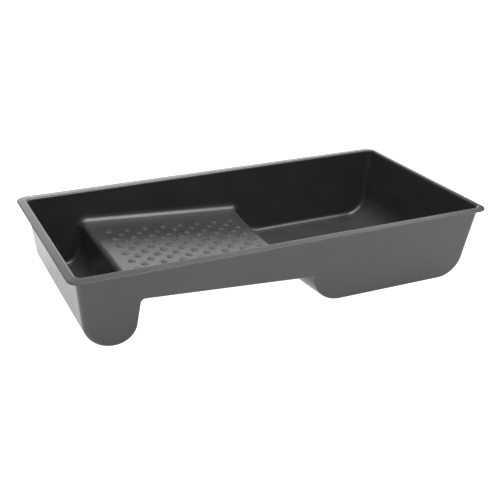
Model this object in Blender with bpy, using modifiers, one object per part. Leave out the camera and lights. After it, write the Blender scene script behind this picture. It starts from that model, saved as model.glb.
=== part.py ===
"""Paint roller tray: one moulded plastic shell with a well, a raised ramp with pips and a paint reservoir.

Metres, +Z up. The origin is under the middle of the tray, on the surface that it stands on.
+X runs from the well towards the reservoir, and +Y across the tray.
"""

import math

import bmesh
import bpy
from mathutils import Matrix, Vector

# Overall size
LENGTH = 0.320
WIDTH = 0.168
HEIGHT = 0.057
WALL = 0.0012

# Lip around the rim, narrower towards the reservoir
LIP_WELL_END = 0.0070
LIP_RESERVOIR_END = 0.0046
LIP_SIDE_AT_WELL = 0.0092
LIP_SIDE_AT_RESERVOIR = 0.0068
LIP_CORNER_RADIUS = 0.009
LIP_BEND = 0.0020

# Draft of the walls, from the vertical
SIDE_DRAFT = math.radians(7.0)
WELL_END_DRAFT = math.radians(5.5)
RESERVOIR_END_DRAFT = math.radians(9.3)
DIVIDER_DRAFT = math.radians(8.1)
DROP_DRAFT = math.radians(6.1)

# Floor: the well, the divider that rises from it, the ramp, and the drop into the reservoir
DIVIDER_FOOT_X = -0.1169
RAMP_HIGH = 0.0338
RAMP_LOW = 0.0245
DROP_TOP_X = 0.0189
DROP_HOLLOW = 0.0040
WELL_END_RADIUS = 0.0183
WELL_DIVIDER_RADIUS = 0.0143
RAMP_HIGH_RADIUS = 0.0045
RAMP_LOW_RADIUS = 0.0032
DROP_RADIUS = 0.0222
RESERVOIR_END_RADIUS = 0.0198
SIDE_FILLET = 0.0040

# Pips on the ramp, in staggered rows
PIP_ROWS = 14
PIPS_IN_LONG_ROW = 8
PIP_ROW_STEP = 0.00722
PIP_STEP = 0.01468
PIP_RADIUS = 0.0031
PIP_TOP_RADIUS = 0.0017
PIP_HEIGHT = 0.0009
PIP_ROOT = 0.0005

# Roundness of the mesh
ARC_STEP = math.radians(11.0)
FILLET_STEPS = 4
BEND_STEPS = 2
CROSS_STEPS = 4
PIP_SIDES = 8

BLACK_PLASTIC = (0.030, 0.031, 0.029, 1.0)

OPENING_LEFT = -LENGTH / 2 + LIP_WELL_END
OPENING_RIGHT = LENGTH / 2 - LIP_RESERVOIR_END
OPENING_HALF_WIDTH = WIDTH / 2 - (LIP_SIDE_AT_WELL + LIP_SIDE_AT_RESERVOIR) / 2
SPREAD = (LIP_SIDE_AT_WELL - LIP_SIDE_AT_RESERVOIR) / LENGTH
BEND_START = HEIGHT - LIP_BEND * (1 - math.sin(SIDE_DRAFT))


def clear_scene():
    for obj in list(bpy.data.objects):
        bpy.data.objects.remove(obj, do_unlink=True)


def new_collection(name):
    collection = bpy.data.collections.new(name)
    bpy.context.scene.collection.children.link(collection)
    return collection


def plastic(name, colour):
    material = bpy.data.materials.new(name)
    material.use_nodes = True
    shader = material.node_tree.nodes["Principled BSDF"]
    shader.inputs["Base Color"].default_value = colour
    shader.inputs["Roughness"].default_value = 0.42
    shader.inputs["Metallic"].default_value = 0.0
    return material


def mesh_object(bm, name, collection):
    mesh = bpy.data.meshes.new(name)
    bm.to_mesh(mesh)
    bm.free()
    obj = bpy.data.objects.new(name, mesh)
    collection.objects.link(obj)
    return obj


def floor_corners():
    """The lengthwise section of the inner surface with sharp corners: (x, z) and each corner's radius."""
    depth = HEIGHT - WALL
    well_x = OPENING_LEFT + depth * math.tan(WELL_END_DRAFT)
    divider_top_x = DIVIDER_FOOT_X + (RAMP_HIGH - WALL) * math.tan(DIVIDER_DRAFT)
    drop_foot_x = DROP_TOP_X + (RAMP_LOW - WALL) * math.tan(DROP_DRAFT)
    reservoir_x = OPENING_RIGHT - depth * math.tan(RESERVOIR_END_DRAFT)
    return [
        (Vector((OPENING_LEFT, HEIGHT)), 0.0),
        (Vector((well_x, WALL)), WELL_END_RADIUS),
        (Vector((DIVIDER_FOOT_X, WALL)), WELL_DIVIDER_RADIUS),
        (Vector((divider_top_x, RAMP_HIGH)), RAMP_HIGH_RADIUS),
        (Vector((DROP_TOP_X, RAMP_LOW)), RAMP_LOW_RADIUS),
        (Vector((drop_foot_x, WALL)), DROP_RADIUS),
        (Vector((reservoir_x, WALL)), RESERVOIR_END_RADIUS),
        (Vector((OPENING_RIGHT, HEIGHT)), 0.0),
    ]


def ramp_ends():
    """The upper and lower corner of the ramp in the lengthwise section."""
    corners = floor_corners()
    return corners[3][0], corners[4][0]


def round_corner(before, corner, after, radius, steps):
    """(point, direction of travel) along the arc that is tangent to both sides of a corner."""
    towards = (corner - before).normalized()
    away = (after - corner).normalized()
    turn = math.atan2(towards.cross(away), towards.dot(away))
    first = corner - towards * radius * math.tan(abs(turn) / 2)
    centre = first + Vector((-towards.y, towards.x)) * math.copysign(radius, turn)
    arc = []
    for i in range(steps + 1):
        angle = turn * i / steps
        cosine, sine = math.cos(angle), math.sin(angle)
        turned = Matrix(((cosine, -sine), (sine, cosine)))
        arc.append((centre + turned @ (first - centre), turned @ towards))
    return arc


def floor_stations():
    """(point, normal, how far the middle is set back) from just under the lip at one end to the other."""
    corners = floor_corners()
    points = [point for point, _ in corners]
    high, low = ramp_ends()
    level = Vector((0, 0))
    set_back = {4: (high - low).normalized() * DROP_HOLLOW, 5: Vector((-DROP_HOLLOW, 0))}
    stations = [(at_height(points[0], points[1], BEND_START), Vector((1, 0)), level)]
    for i in range(1, len(points) - 1):
        bend = (points[i] - points[i - 1]).angle(points[i + 1] - points[i])
        steps = round(bend / ARC_STEP)
        for point, travel in round_corner(*points[i - 1 : i + 2], corners[i][1], steps):
            stations.append((point, Vector((-travel.y, travel.x)), set_back.get(i, level)))
    stations.append((at_height(points[-1], points[-2], BEND_START), Vector((-1, 0)), level))
    return stations


def at_height(top, bottom, z):
    """The point at height z on the line between two points."""
    return bottom.lerp(top, (z - bottom.y) / (top.y - bottom.y))


def half_width(x, z):
    """Half the width between the side walls, which spread a little towards the reservoir."""
    return OPENING_HALF_WIDTH + SPREAD * x - (HEIGHT - z) * math.tan(SIDE_DRAFT)


def cross_row(point, normal, set_back):
    """Half of the cross-section at a station: the floor from its middle, then the fillet up to the wall."""
    half = half_width(point.x, point.y)
    corner = Vector((half, 0.0))
    up_the_wall = Vector((normal.y * math.tan(SIDE_DRAFT) + normal.x * SPREAD, 1.0))
    arc = round_corner(Vector((0, 0)), corner, corner + up_the_wall, SIDE_FILLET, FILLET_STEPS)
    fillet = [place for place, _ in arc]
    floor = [fillet[0] * i / CROSS_STEPS for i in range(CROSS_STEPS)]
    row = []
    for y, rise in floor + fillet:
        inward = max(0.0, 1 - (y / half) ** 2)
        x = point.x + normal.x * rise + set_back.x * inward
        row.append((x, y, point.y + normal.y * rise + set_back.y * inward))
    return row


def rim_row(left, right, half_left, half_right, radius, z):
    """Half of a four-sided loop with round corners at height z, from the middle of one end to the other."""
    middle_left, middle_right = Vector((left, 0.0)), Vector((right, 0.0))
    far_left, far_right = Vector((left, half_left)), Vector((right, half_right))
    left_arc = [p for p, _ in round_corner(middle_left, far_left, far_right, radius, FILLET_STEPS)]
    right_arc = [p for p, _ in round_corner(far_left, far_right, middle_right, radius, FILLET_STEPS)]
    row = [middle_left.lerp(left_arc[0], i / CROSS_STEPS) for i in range(CROSS_STEPS)]
    row += left_arc + right_arc
    row += [right_arc[-1].lerp(middle_right, (i + 1) / CROSS_STEPS) for i in range(CROSS_STEPS)]
    return [(point.x, point.y, z) for point in row]


def lip_rows(left, right):
    """Rows from the top of the walls round the bend of the lip and out to its edge."""
    rows = []
    for i in range(1, BEND_STEPS + 1):
        angle = SIDE_DRAFT + (math.pi / 2 - SIDE_DRAFT) * i / BEND_STEPS
        out = LIP_BEND * (math.cos(SIDE_DRAFT) - math.cos(angle))
        z = HEIGHT - LIP_BEND * (1 - math.sin(angle))
        half_left = half_width(left - out, BEND_START) + out
        half_right = half_width(right + out, BEND_START) + out
        rows.append(rim_row(left - out, right + out, half_left, half_right, SIDE_FILLET + out, z))
    rows.append(rim_row(-LENGTH / 2, LENGTH / 2, WIDTH / 2, WIDTH / 2, LIP_CORNER_RADIUS, HEIGHT))
    return rows


def skin(bm, rows):
    """Quads between each row of vertices and the next."""
    for row, following in zip(rows, rows[1:]):
        for i in range(len(row) - 1):
            bm.faces.new((row[i], following[i], following[i + 1], row[i + 1]))


def half_tray():
    """The open inner surface of the half at +Y: floor and end walls, side wall, and lip."""
    bm = bmesh.new()
    floor = [[bm.verts.new(p) for p in cross_row(*station)] for station in floor_stations()]
    skin(bm, floor)
    bm.faces.new([row[-1] for row in floor])

    top = floor[0] + floor[-1][::-1]
    lip = lip_rows(top[0].co.x, top[-1].co.x)
    skin(bm, [[bm.verts.new(p) for p in row] for row in reversed(lip)] + [top])
    return bm


def ramp_frame():
    """The middle of the ramp's upper surface, turned so that its x follows the slope."""
    high, low = ramp_ends()
    middle = (high + low) / 2
    slope = math.atan2(high.y - low.y, low.x - high.x)
    return Matrix.Translation((middle.x, 0.0, middle.y)) @ Matrix.Rotation(slope, 4, "Y")


def pip_places():
    """Centres of the pips on the ramp: long and short rows alternate, half a step apart."""
    places = []
    for row in range(PIP_ROWS):
        count = PIPS_IN_LONG_ROW - (row + 1) % 2
        y = (row - (PIP_ROWS - 1) / 2) * PIP_ROW_STEP
        for i in range(count):
            places.append(((i - (count - 1) / 2) * PIP_STEP, y))
    return places


def pip_bodies():
    """Every pip as a low cone with a flat top, its root sunk into the ramp."""
    bm = bmesh.new()
    frame = ramp_frame()
    middle = (PIP_HEIGHT - PIP_ROOT) / 2
    for x, y in pip_places():
        bmesh.ops.create_cone(
            bm, cap_ends=True, segments=PIP_SIDES, radius1=PIP_RADIUS, radius2=PIP_TOP_RADIUS,
            depth=PIP_HEIGHT + PIP_ROOT, matrix=frame @ Matrix.Translation((x, y, middle)),
        )
    return bm


def add_mirror(obj):
    modifier = obj.modifiers.new("Near half", "MIRROR")
    modifier.use_axis = (False, True, False)
    modifier.use_clip = True
    modifier.merge_threshold = 0.0001


def add_solidify(obj, thickness):
    modifier = obj.modifiers.new("Wall thickness", "SOLIDIFY")
    modifier.thickness = thickness
    modifier.offset = -1.0
    modifier.use_even_offset = True


def add_union(obj, other):
    modifier = obj.modifiers.new("Pips", "BOOLEAN")
    modifier.operation = "UNION"
    modifier.object = other
    modifier.solver = "EXACT"


def build():
    clear_scene()
    parts = new_collection("Paint roller tray")
    cutters = new_collection("Cutters")

    pips = mesh_object(pip_bodies(), "pip_shapes", cutters)
    pips.hide_render = True
    pips.display_type = "WIRE"

    tray = mesh_object(half_tray(), "tray_moulding", parts)
    tray.data.materials.append(plastic("Black plastic", BLACK_PLASTIC))
    tray.data.shade_smooth()
    tray.data.set_sharp_from_angle(angle=math.radians(30))
    add_mirror(tray)
    add_solidify(tray, WALL)
    add_union(tray, pips)


build()
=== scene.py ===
"""Looks of the paint roller tray: a finely tessellated shell, its plastic, and a plain studio."""

import math
from collections import namedtuple

import bpy
import numpy as np
from mathutils import Matrix, Vector


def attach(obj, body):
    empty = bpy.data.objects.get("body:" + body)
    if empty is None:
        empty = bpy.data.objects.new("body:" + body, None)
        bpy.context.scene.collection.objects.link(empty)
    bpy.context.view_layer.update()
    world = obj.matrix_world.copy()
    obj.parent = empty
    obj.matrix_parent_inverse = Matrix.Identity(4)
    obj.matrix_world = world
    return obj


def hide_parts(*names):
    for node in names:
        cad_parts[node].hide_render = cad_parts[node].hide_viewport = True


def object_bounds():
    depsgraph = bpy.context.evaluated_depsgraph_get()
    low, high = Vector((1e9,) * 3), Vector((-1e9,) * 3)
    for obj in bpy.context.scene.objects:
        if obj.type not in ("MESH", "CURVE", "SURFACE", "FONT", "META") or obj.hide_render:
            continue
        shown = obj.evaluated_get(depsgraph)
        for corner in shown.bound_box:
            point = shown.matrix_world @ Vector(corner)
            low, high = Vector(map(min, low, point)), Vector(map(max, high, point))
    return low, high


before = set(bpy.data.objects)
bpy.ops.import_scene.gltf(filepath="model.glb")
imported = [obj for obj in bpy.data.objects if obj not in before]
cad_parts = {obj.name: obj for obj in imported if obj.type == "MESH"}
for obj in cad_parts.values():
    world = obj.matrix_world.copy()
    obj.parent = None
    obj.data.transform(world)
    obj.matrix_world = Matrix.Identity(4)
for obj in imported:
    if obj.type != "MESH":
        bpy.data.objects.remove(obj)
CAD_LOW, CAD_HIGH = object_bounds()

MM = 0.001

# Overall size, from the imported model
LENGTH = CAD_HIGH.x - CAD_LOW.x
WIDTH = CAD_HIGH.y - CAD_LOW.y
HEIGHT = CAD_HIGH.z - CAD_LOW.z
CENTRE = Vector(((CAD_LOW.x + CAD_HIGH.x) / 2, (CAD_LOW.y + CAD_HIGH.y) / 2, CAD_LOW.z))

# Wall and lip; the lip is narrower towards the reservoir, and its edge droops and is rounded
WALL = 1.2 * MM
LIP_WELL_END = 7.0 * MM
LIP_RESERVOIR_END = 4.6 * MM
LIP_SIDE_AT_WELL = 9.2 * MM
LIP_SIDE_AT_RESERVOIR = 6.8 * MM
LIP_CORNER_RADIUS = 9.0 * MM
LIP_BEND = 2.0 * MM
LIP_EDGE_ROUNDING = 0.55 * MM
LIP_DROOP = 0.4 * MM

# Draft of the walls, from the vertical
SIDE_DRAFT = math.radians(7.0)
WELL_END_DRAFT = math.radians(5.5)
RESERVOIR_END_DRAFT = math.radians(9.3)
DIVIDER_DRAFT = math.radians(8.1)
DROP_DRAFT = math.radians(6.1)

# Floor: the well, the divider that rises from it, the ramp, and the drop into the reservoir
DIVIDER_FOOT_X = -116.9 * MM
RAMP_HIGH = 33.8 * MM
RAMP_LOW = 24.5 * MM
DROP_TOP_X = 18.9 * MM
DROP_HOLLOW = 4.0 * MM
RAMP_SAG = 1.4 * MM
WELL_END_RADIUS = 18.3 * MM
WELL_DIVIDER_RADIUS = 14.3 * MM
RAMP_HIGH_RADIUS = 4.5 * MM
RAMP_LOW_RADIUS = 3.2 * MM
DROP_RADIUS = 22.2 * MM
RESERVOIR_END_RADIUS = 19.8 * MM
SIDE_FILLET = 4.0 * MM
RAMP_FILLET = 6.0 * MM
OUTER_EDGE_RADIUS = 1.0 * MM

# Pips on the ramp, in staggered rows; a pip's flank is a power of a paraboloid
PIP_ROWS = 14
PIPS_IN_LONG_ROW = 8
PIP_ROW_STEP = 7.22 * MM
PIP_STEP = 14.68 * MM
PIP_RADIUS = 3.1 * MM
PIP_HEIGHT = 0.7 * MM
PIP_FLANK = 1.2

# Fine grid over the pips, its margin round them, and the coarser steps beside it
PIP_GRID = 0.5 * MM
PIP_MARGIN = 4.5 * MM
BESIDE_STEP = 5.5 * MM
BESIDE_STEPS = 2

# Roundness of the mesh
ARC_STEP = math.radians(3.0)
FILLET_STEPS = 12
BEND_STEPS = 8
EDGE_STEPS = 5
SIDE_STEPS = 24
CROSS_STEPS = 24

# The studio: its surroundings, its floor, and how far the panels of light stand off
SURROUNDINGS = 0.12
FLOOR_HALF = 5.0
FLOOR_GAP = 0.2 * MM
PANEL_DISTANCE = 1.15

# The camera: its place from the middle of the rim, where it looks, and its lens in mm
CAMERA_PLACE = (-0.26408, -0.56612, 0.23957)
CAMERA_AZIMUTH = math.radians(25.068)
CAMERA_ELEVATION = math.radians(24.049)
CAMERA_ROLL = math.radians(0.456)
CAMERA_LENS = 63.37

OPENING_LEFT = -LENGTH / 2 + LIP_WELL_END
OPENING_RIGHT = LENGTH / 2 - LIP_RESERVOIR_END
OPENING_HALF_WIDTH = WIDTH / 2 - (LIP_SIDE_AT_WELL + LIP_SIDE_AT_RESERVOIR) / 2
SPREAD = (LIP_SIDE_AT_WELL - LIP_SIDE_AT_RESERVOIR) / LENGTH

# The corners of the lengthwise section, by their place in floor_corners()
WELL_END, DIVIDER_FOOT, DIVIDER_TOP, DROP_TOP, DROP_FOOT, RESERVOIR_END = range(1, 7)

# A place along the lengthwise section: the radius of its side fillets, how far its middle is set back
# along the tray, how far it sags, and how rubbed it is
Station = namedtuple("Station", "point normal side_radius set_back sag wear")


# ---------------------------------------------------------------- the shell


def floor_corners():
    """The lengthwise section of the inner surface with sharp corners: (x, z) and each corner's radius."""
    depth = HEIGHT - WALL
    well_x = OPENING_LEFT + depth * math.tan(WELL_END_DRAFT)
    divider_top_x = DIVIDER_FOOT_X + (RAMP_HIGH - WALL) * math.tan(DIVIDER_DRAFT)
    drop_foot_x = DROP_TOP_X + (RAMP_LOW - WALL) * math.tan(DROP_DRAFT)
    reservoir_x = OPENING_RIGHT - depth * math.tan(RESERVOIR_END_DRAFT)
    return [
        (Vector((OPENING_LEFT, HEIGHT)), 0.0),
        (Vector((well_x, WALL)), WELL_END_RADIUS),
        (Vector((DIVIDER_FOOT_X, WALL)), WELL_DIVIDER_RADIUS),
        (Vector((divider_top_x, RAMP_HIGH)), RAMP_HIGH_RADIUS),
        (Vector((DROP_TOP_X, RAMP_LOW)), RAMP_LOW_RADIUS),
        (Vector((drop_foot_x, WALL)), DROP_RADIUS),
        (Vector((reservoir_x, WALL)), RESERVOIR_END_RADIUS),
        (Vector((OPENING_RIGHT, HEIGHT)), 0.0),
    ]


def ramp_frame():
    """The direction down the ramp, the direction up from it, and the middle of its upper surface."""
    corners = floor_corners()
    high, low = corners[DIVIDER_TOP][0], corners[DROP_TOP][0]
    slope = (low - high).normalized()
    return slope, Vector((-slope.y, slope.x)), (high + low) / 2


def round_corner(before, corner, after, radius, steps):
    """(point, direction of travel) along the arc that is tangent to both sides of a corner."""
    towards = (corner - before).normalized()
    away = (after - corner).normalized()
    turn = math.atan2(towards.cross(away), towards.dot(away))
    first = corner - towards * radius * math.tan(abs(turn) / 2)
    centre = first + Vector((-towards.y, towards.x)) * math.copysign(radius, turn)
    arc = []
    for i in range(steps + 1):
        angle = turn * i / steps
        cosine, sine = math.cos(angle), math.sin(angle)
        turned = Matrix(((cosine, -sine), (sine, cosine)))
        arc.append((centre + turned @ (first - centre), turned @ towards))
    return arc


def bend_start(skin):
    """Height where the walls start to bend into the lip.

    Here and below, skin is how far outside the inner surface the surface in question lies.
    """
    return HEIGHT - LIP_BEND + (LIP_BEND - skin) * math.sin(SIDE_DRAFT)


def end_walls(z, skin):
    """Where the two end walls stand at height z."""
    down = HEIGHT - z
    left = OPENING_LEFT + down * math.tan(WELL_END_DRAFT) - skin / math.cos(WELL_END_DRAFT)
    right = OPENING_RIGHT - down * math.tan(RESERVOIR_END_DRAFT) + skin / math.cos(RESERVOIR_END_DRAFT)
    return left, right


def half_width(x, z, skin):
    """Half the width between the side walls, which spread a little towards the reservoir."""
    down = HEIGHT - z
    return OPENING_HALF_WIDTH + SPREAD * x - down * math.tan(SIDE_DRAFT) + skin / math.cos(SIDE_DRAFT)


def side_radius(corner, along, skin):
    """Radius between floor and side wall, at a fraction along a corner of the lengthwise section.

    Outside it is tight along the floor, and grows on the way up to the rim's corners at both ends.
    """
    if skin == 0:
        return RAMP_FILLET if corner in (DIVIDER_TOP, DROP_TOP) else SIDE_FILLET
    upright = {WELL_END: 1 - along, RESERVOIR_END: along}.get(corner, 0)
    return OUTER_EDGE_RADIUS + (SIDE_FILLET + skin - OUTER_EDGE_RADIUS) * upright


def floor_stations(skin):
    """The stations along the lengthwise section, and where in that list the ramp starts."""
    corners = floor_corners()
    points = [point for point, _ in corners]
    slope, _, _ = ramp_frame()
    set_back = {DROP_TOP: -DROP_HOLLOW * slope, DROP_FOOT: Vector((-DROP_HOLLOW, 0))}
    top = bend_start(skin)
    left, right = end_walls(top, skin)
    none = Vector((0, 0))
    stations = [Station(Vector((left, top)), Vector((1, 0)), SIDE_FILLET + skin, none, 0, 0)]
    for i in range(WELL_END, RESERVOIR_END + 1):
        if i == DROP_TOP:
            ramp = len(stations) - 1
        bend = (points[i] - points[i - 1]).angle(points[i + 1] - points[i])
        steps = round(bend / ARC_STEP)
        for j, (point, travel) in enumerate(round_corner(*points[i - 1 : i + 2], corners[i][1], steps)):
            normal = Vector((-travel.y, travel.x))
            on_ramp = i in (DIVIDER_TOP, DROP_TOP)
            sag = RAMP_SAG if on_ramp else 0
            wear = math.sin(math.pi * j / steps) if on_ramp and skin == 0 else 0
            radius = side_radius(i, j / steps, skin)
            place = point - normal * skin
            stations.append(Station(place, normal, radius, set_back.get(i, none), sag, wear))
    stations.append(Station(Vector((right, top)), Vector((-1, 0)), SIDE_FILLET + skin, none, 0, 0))
    return stations, ramp


def cross_row(station, skin, field=None):
    """Cross-section at a station, from the near side wall over the floor to the far one: places and wear.

    The floor has plain even steps, or the (y, rise, wear) of each point of the field.
    """
    point, normal = station.point, station.normal
    half = half_width(point.x, point.y, skin)
    corner = Vector((half, 0.0))
    up_the_wall = Vector((normal.y * math.tan(SIDE_DRAFT) + normal.x * SPREAD, 1.0))
    arc = round_corner(Vector((0.0, 0.0)), corner, corner + up_the_wall, station.side_radius, FILLET_STEPS)
    flat = arc[0][0].x
    if field is None:
        field = [(flat * (2 * i / CROSS_STEPS - 1), 0.0, station.wear) for i in range(1, CROSS_STEPS)]
    rubbed = station.wear if skin == 0 else abs(normal.y)
    side = []
    for i, (place, _) in enumerate(arc):
        fade = 1 - i / FILLET_STEPS if skin == 0 else math.sin(math.pi * i / FILLET_STEPS)
        side.append((place.x, place.y, rubbed * fade))

    section = [(-y, rise, wear) for y, rise, wear in reversed(side)] + field + side
    places = []
    for y, rise, _ in section:
        away = min(1.0, abs(y) / half)
        place = point + normal * rise + station.set_back * (1 - away**2)
        places.append((place.x, y, place.y - station.sag * (1 - away**4)))
    return places, [wear for _, _, wear in section]


def rim_loop(left, right, half_left, half_right, radius, z):
    """A closed four-sided loop with round corners, clockwise from above, from the near left corner."""
    corners = [
        Vector((left, -half_left)),
        Vector((left, half_left)),
        Vector((right, half_right)),
        Vector((right, -half_right)),
    ]
    arcs = []
    for i in range(4):
        arc = round_corner(corners[i - 1], corners[i], corners[(i + 1) % 4], radius, FILLET_STEPS)
        arcs.append([point for point, _ in arc])
    loop = []
    for arc, following, steps in zip(arcs, arcs[1:] + arcs[:1], (CROSS_STEPS, SIDE_STEPS) * 2):
        loop += arc
        loop += [arc[-1].lerp(following[0], i / steps) for i in range(1, steps)]
    return [(point.x, point.y, z) for point in loop]


def wall_loop(out, z, skin):
    """The loop that lies out from the top of the walls, at height z."""
    top = bend_start(skin)
    left, right = end_walls(top, skin)
    half_left = half_width(left - out, top, skin) + out
    half_right = half_width(right + out, top, skin) + out
    return rim_loop(left - out, right + out, half_left, half_right, SIDE_FILLET + skin + out, z)


def bend_loops(skin):
    """Loops round the bend from the walls to the lip."""
    radius = LIP_BEND - skin
    loops = []
    for i in range(1, BEND_STEPS + 1):
        angle = SIDE_DRAFT + (math.pi / 2 - SIDE_DRAFT) * i / BEND_STEPS
        out = radius * (math.cos(SIDE_DRAFT) - math.cos(angle))
        loops.append(wall_loop(out, HEIGHT - LIP_BEND + radius * math.sin(angle), skin))
    return loops


def edge_loops():
    """(loop, wear) over the rounded outer edge of the lip, from its upper face to its lower face."""
    loops = []
    top = HEIGHT - LIP_DROOP
    for start, z_centre in ((0, top - LIP_EDGE_ROUNDING), (90, top - WALL + LIP_EDGE_ROUNDING)):
        for i in range(EDGE_STEPS + 1):
            angle = math.radians(start + 90 * i / EDGE_STEPS)
            inset = LIP_EDGE_ROUNDING * (1 - math.sin(angle))
            half_length, half = LENGTH / 2 - inset, WIDTH / 2 - inset
            z = z_centre + LIP_EDGE_ROUNDING * math.cos(angle)
            loop = rim_loop(-half_length, half_length, half, half, LIP_CORNER_RADIUS - inset, z)
            loops.append((loop, math.sin(angle) ** 2))
    return loops


class Shell:
    """Vertices and faces of the tray as they are added, and how much each vertex is rubbed."""

    def __init__(self):
        self.places = []
        self.wear = []
        self.faces = []

    def add(self, places, wear=None):
        """Adds a row of vertices and returns their numbers."""
        first = len(self.places)
        self.places += places
        self.wear += wear or [0.0] * len(places)
        return list(range(first, len(self.places)))

    def strip(self, row, following, closed=False):
        """Quads from one row of vertices to the following one."""
        count = len(row) if closed else len(row) - 1
        for i in range(count):
            j = (i + 1) % len(row)
            self.faces.append((row[i], following[i], following[j], row[j]))

    def zipper(self, row, following):
        """Triangles between two rows of unlike count that both run across the tray."""
        i = j = 0
        while i < len(row) - 1 or j < len(following) - 1:
            along_row = self.places[row[i + 1]][1] if i < len(row) - 1 else math.inf
            along_following = self.places[following[j + 1]][1] if j < len(following) - 1 else math.inf
            if along_row < along_following:
                self.faces.append((row[i], following[j], row[i + 1]))
                i += 1
            else:
                self.faces.append((row[i], following[j], following[j + 1]))
                j += 1


def add_surface(shell, skin):
    """Floor, end walls and side walls; returns the closed loop of vertices along their top."""
    stations, ramp = floor_stations(skin)
    rows = [shell.add(*cross_row(station, skin)) for station in stations]
    if skin == 0:
        rows[ramp + 1 : ramp + 1] = ramp_rows(shell)
    side = FILLET_STEPS
    for row, following in zip(rows, rows[1:]):
        if len(row) == len(following):
            shell.strip(row, following)
        else:
            shell.strip(row[: side + 1], following[: side + 1])
            shell.zipper(row[side:-side], following[side:-side])
            shell.strip(row[-side - 1 :], following[-side - 1 :])

    top = wall_loop(0.0, bend_start(skin), skin)
    first = 2 * (FILLET_STEPS + 1) + CROSS_STEPS - 1
    far_top = shell.add(top[first : first + SIDE_STEPS - 1])
    near_top = shell.add(top[-(SIDE_STEPS - 1) :])
    shell.faces.append([row[-1] for row in rows] + far_top[::-1])
    shell.faces.append([row[0] for row in reversed(rows)] + near_top[::-1])
    return rows[0] + far_top + rows[-1][::-1] + near_top


def pip_places():
    """Centres of the pips on the ramp: long and short rows alternate, half a step apart."""
    places = []
    for row in range(PIP_ROWS):
        count = PIPS_IN_LONG_ROW - (row + 1) % 2
        y = (row - (PIP_ROWS - 1) / 2) * PIP_ROW_STEP
        for i in range(count):
            places.append(((i - (count - 1) / 2) * PIP_STEP, y))
    return places


def pip_relief(x, y):
    """Height of the pips above the ramp at each grid point, as a fraction of a pip's height."""
    relief = np.zeros_like(x)
    for pip_x, pip_y in pip_places():
        distance = np.hypot(x - pip_x, y - pip_y) / PIP_RADIUS
        relief = np.maximum(relief, np.clip(1 - distance**2, 0, 1) ** PIP_FLANK)
    return relief


def ramp_rows(shell):
    """Rows of vertices between the ramp's ends, fine enough to carry the pips."""
    half_x = (PIPS_IN_LONG_ROW - 1) / 2 * PIP_STEP + PIP_MARGIN
    half_y = (PIP_ROWS - 1) / 2 * PIP_ROW_STEP + PIP_MARGIN
    xs = np.linspace(-half_x, half_x, round(2 * half_x / PIP_GRID) + 1)
    ys = np.linspace(-half_y, half_y, round(2 * half_y / PIP_GRID) + 1)
    relief = pip_relief(*np.meshgrid(xs, ys, indexing="ij"))

    slope, up, centre = ramp_frame()
    beside = [(half_y + BESIDE_STEP * (i + 1), 0.0, 0.0) for i in range(BESIDE_STEPS)]
    rows = []
    for x, heights in zip(xs.tolist(), relief.tolist()):
        field = [(y, PIP_HEIGHT * height, height) for y, height in zip(ys.tolist(), heights)]
        field = [(-y, rise, wear) for y, rise, wear in reversed(beside)] + field + beside
        station = Station(centre + slope * x, up, RAMP_FILLET, Vector((0, 0)), RAMP_SAG, 0)
        rows.append(shell.add(*cross_row(station, 0.0, field)))
    return rows


def tray_mesh():
    """Inner surface, lip and outer surface as one closed mesh, with the rubbed places as an attribute."""
    shell = Shell()
    top = add_surface(shell, 0.0)
    lip = [(loop, 0.0) for loop in bend_loops(0.0)] + edge_loops()
    for places, wear in lip:
        following = shell.add(places, [wear] * len(places))
        shell.strip(following, top, closed=True)
        top = following

    under = Shell()
    bottom = add_surface(under, WALL)
    for places in bend_loops(WALL):
        following = under.add(places)
        under.strip(following, bottom, closed=True)
        bottom = following
    first = len(shell.places)
    shell.places += under.places
    shell.wear += under.wear
    shell.faces += [tuple(first + v for v in reversed(face)) for face in under.faces]
    shell.strip([first + v for v in bottom], top, closed=True)

    mesh = bpy.data.meshes.new("tray_shell")
    mesh.from_pydata([Vector(p) + CENTRE for p in shell.places], [], shell.faces)
    wear = mesh.attributes.new("wear", "FLOAT", "POINT")
    wear.data.foreach_set("value", shell.wear)
    mesh.shade_smooth()
    return mesh


# ---------------------------------------------------------------- the plastic


class Nodes:
    """Adds nodes to a material, each with its settings, and its inputs as values or as outputs to link."""

    def __init__(self, material):
        material.use_nodes = True
        self.tree = material.node_tree

    def add(self, kind, inputs=None, **settings):
        node = self.tree.nodes.new("ShaderNode" + kind)
        for name, value in settings.items():
            setattr(node, name, value)
        self.set(node, inputs or {})
        return node

    def set(self, node, inputs):
        for name, value in inputs.items():
            if isinstance(value, bpy.types.NodeSocket):
                self.tree.links.new(value, node.inputs[name])
            else:
                node.inputs[name].default_value = value

    def noise(self, place, scale, detail, roughness=0.5):
        inputs = {"Vector": place, "Scale": scale, "Detail": detail, "Roughness": roughness}
        return self.add("TexNoise", inputs).outputs["Fac"]

    def spread(self, value, low, high, to_low, to_high):
        """The value mapped from one range to another, held at its ends."""
        inputs = {"Value": value, "From Min": low, "From Max": high, "To Min": to_low, "To Max": to_high}
        return self.add("MapRange", inputs).outputs["Result"]

    def combine(self, operation, first, second):
        node = self.add("Math", {0: first, 1: second}, operation=operation)
        return node.outputs["Value"]

    def mix(self, factor, first, second):
        node = self.add("Mix", {0: factor, 6: first, 7: second}, data_type="RGBA")
        return node.outputs[2]


def hairlines(nodes, place, stretch):
    """Thin lines, drawn out along the least stretched axis, that fade in and out from place to place."""
    drawn_out = nodes.add("Mapping", {"Vector": place, "Scale": stretch}).outputs["Vector"]
    field = nodes.noise(drawn_out, 1.0, 2)
    off_centre = nodes.combine("ABSOLUTE", nodes.combine("SUBTRACT", field, 0.5), 0.0)
    lines = nodes.spread(off_centre, 0.004, 0.012, 1, 0)
    return nodes.combine("MULTIPLY", lines, nodes.spread(nodes.noise(place, 28, 3), 0.5, 0.64, 0, 1))


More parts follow.
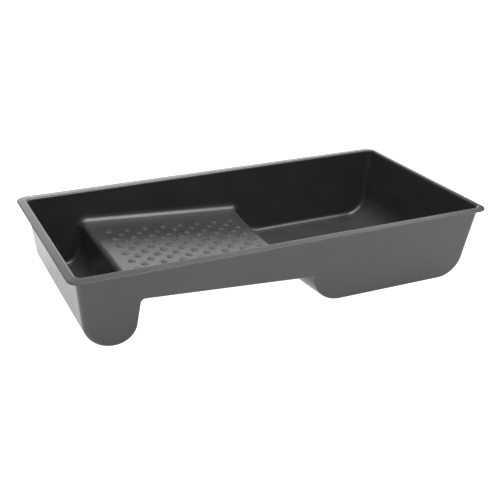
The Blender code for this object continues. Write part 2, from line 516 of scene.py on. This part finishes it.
def black_plastic():
    """Satin black plastic: grained, cloudy in gloss, with hairline scratches and paler rubbed edges."""
    material = bpy.data.materials.new("satin_black_plastic")
    nodes = Nodes(material)
    place = nodes.add("TexCoord").outputs["Object"]
    clouds = nodes.noise(place, 45, 4)
    specks = nodes.noise(place, 420, 3, 0.7)
    grain = nodes.noise(place, 2200, 2, 0.6)
    waves = nodes.noise(place, 14, 1)

    lengthwise = hairlines(nodes, place, (12, 260, 260))
    upright = hairlines(nodes, place, (260, 260, 12))
    scratches = nodes.combine("MAXIMUM", lengthwise, upright)

    rubbed = nodes.add("Attribute", attribute_name="wear").outputs["Fac"]
    rubbed = nodes.combine("MULTIPLY", rubbed, nodes.spread(specks, 0.42, 0.62, 0.15, 1))

    dark, light = (0.0245, 0.0250, 0.0230, 1), (0.0310, 0.0315, 0.0290, 1)
    colour = nodes.mix(nodes.spread(clouds, 0.3, 0.7, 0, 1), dark, light)
    colour = nodes.mix(nodes.combine("MULTIPLY", scratches, 0.1), colour, (0.08, 0.08, 0.076, 1))
    colour = nodes.mix(nodes.combine("MULTIPLY", rubbed, 0.30), colour, (0.10, 0.10, 0.095, 1))

    gloss = nodes.spread(clouds, 0.3, 0.7, 0.278, 0.308)
    gloss = nodes.combine("ADD", gloss, nodes.spread(specks, 0.35, 0.65, 0, 0.012))
    gloss = nodes.combine("ADD", gloss, nodes.combine("MULTIPLY", scratches, 0.04))
    gloss = nodes.combine("ADD", gloss, nodes.combine("MULTIPLY", rubbed, 0.04))

    bent = nodes.add("Bump", {"Height": waves, "Strength": 0.5, "Distance": 0.0012}).outputs["Normal"]
    grained = nodes.add("Bump", {"Height": grain, "Strength": 0.2, "Distance": 0.00005, "Normal": bent})
    nodes.set(nodes.tree.nodes["Principled BSDF"], {
        "Base Color": colour, "Roughness": gloss, "IOR": 1.5, "Normal": grained.outputs["Normal"],
    })
    return material


# ---------------------------------------------------------------- the studio


def floor_material():
    """Pale matt floor with a glow of its own, so that it looks white."""
    material = bpy.data.materials.new("studio_floor")
    nodes = Nodes(material)
    nodes.set(nodes.tree.nodes["Principled BSDF"], {
        "Base Color": (0.42, 0.42, 0.42, 1), "Roughness": 0.9,
        "Emission Color": (1, 1, 1, 1), "Emission Strength": 1.2,
    })
    return material


def add_floor():
    mesh = bpy.data.meshes.new("studio_floor")
    z = CAD_LOW.z - FLOOR_GAP
    corners = [(x * FLOOR_HALF, y * FLOOR_HALF, z) for x, y in ((-1, -1), (1, -1), (1, 1), (-1, 1))]
    mesh.from_pydata(corners, [], [(0, 1, 2, 3)])
    mesh.materials.append(floor_material())
    floor = bpy.data.objects.new("studio_floor", mesh)
    bpy.context.scene.collection.objects.link(floor)


def add_world():
    """Dim surroundings that look white where the camera sees them."""
    world = bpy.data.worlds.new("studio")
    world.use_nodes = True
    tree = world.node_tree
    seen = tree.nodes.new("ShaderNodeLightPath").outputs["Is Camera Ray"]
    strength = tree.nodes.new("ShaderNodeMapRange")
    strength.inputs["To Min"].default_value = SURROUNDINGS
    tree.links.new(seen, strength.inputs["Value"])
    background = tree.nodes["Background"]
    background.inputs["Color"].default_value = (1, 1, 1, 1)
    tree.links.new(strength.outputs["Result"], background.inputs["Strength"])
    bpy.context.scene.world = world


def add_panel(name, azimuth, elevation, width, height, brightness):
    """A soft rectangular light that faces the tray; azimuth is clockwise from +Y, seen from above."""
    data = bpy.data.lights.new(name, "AREA")
    data.shape = "RECTANGLE"
    data.size = width
    data.size_y = height
    data.energy = brightness * math.pi * width * height
    light = bpy.data.objects.new(name, data)
    bpy.context.scene.collection.objects.link(light)
    round_z = Matrix.Rotation(math.radians(-azimuth), 4, "Z")
    tilt = Matrix.Rotation(math.radians(elevation - 90), 4, "X")
    off = Matrix.Translation((0, 0, PANEL_DISTANCE))
    light.matrix_world = Matrix.Translation(CENTRE) @ round_z @ tilt @ off


def add_lights():
    add_panel("overhead_softbox", azimuth=0, elevation=90, width=1.1, height=1.1, brightness=5.3)
    add_panel("right_softbox", azimuth=90, elevation=60, width=1.0, height=1.0, brightness=3.2)
    add_panel("backdrop", azimuth=22, elevation=18.5, width=1.1, height=0.57, brightness=2.3)


def add_camera():
    data = bpy.data.cameras.new("camera")
    data.sensor_width = 36.0
    data.lens = CAMERA_LENS
    data.clip_start = 0.01
    data.clip_end = 50
    camera = bpy.data.objects.new("camera", data)
    bpy.context.scene.collection.objects.link(camera)

    level = math.cos(CAMERA_ELEVATION)
    forward_x = math.sin(CAMERA_AZIMUTH) * level
    forward_y = math.cos(CAMERA_AZIMUTH) * level
    forward = Vector((forward_x, forward_y, -math.sin(CAMERA_ELEVATION)))
    right = Vector((math.cos(CAMERA_AZIMUTH), -math.sin(CAMERA_AZIMUTH), 0))
    up = right.cross(forward)
    camera_right = math.cos(CAMERA_ROLL) * right + math.sin(CAMERA_ROLL) * up
    camera_up = -math.sin(CAMERA_ROLL) * right + math.cos(CAMERA_ROLL) * up
    turn = Matrix((camera_right, camera_up, -forward)).transposed()
    rim_middle = CENTRE + Vector((0, 0, HEIGHT))
    camera.matrix_world = Matrix.Translation(rim_middle + Vector(CAMERA_PLACE)) @ turn.to_4x4()
    bpy.context.scene.camera = camera


def add_tray():
    mesh = tray_mesh()
    mesh.materials.append(black_plastic())
    tray = bpy.data.objects.new("tray_shell", mesh)
    bpy.context.scene.collection.objects.link(tray)
    weighted = tray.modifiers.new("Flat faces stay flat", "WEIGHTED_NORMAL")
    weighted.mode = "FACE_AREA"
    weighted.weight = 100
    weighted.keep_sharp = False
    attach(tray, "root")
    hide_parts("tray_moulding")


def main():
    add_tray()
    add_floor()
    add_world()
    add_lights()
    add_camera()
    bpy.context.scene.view_settings.view_transform = "Standard"


main()
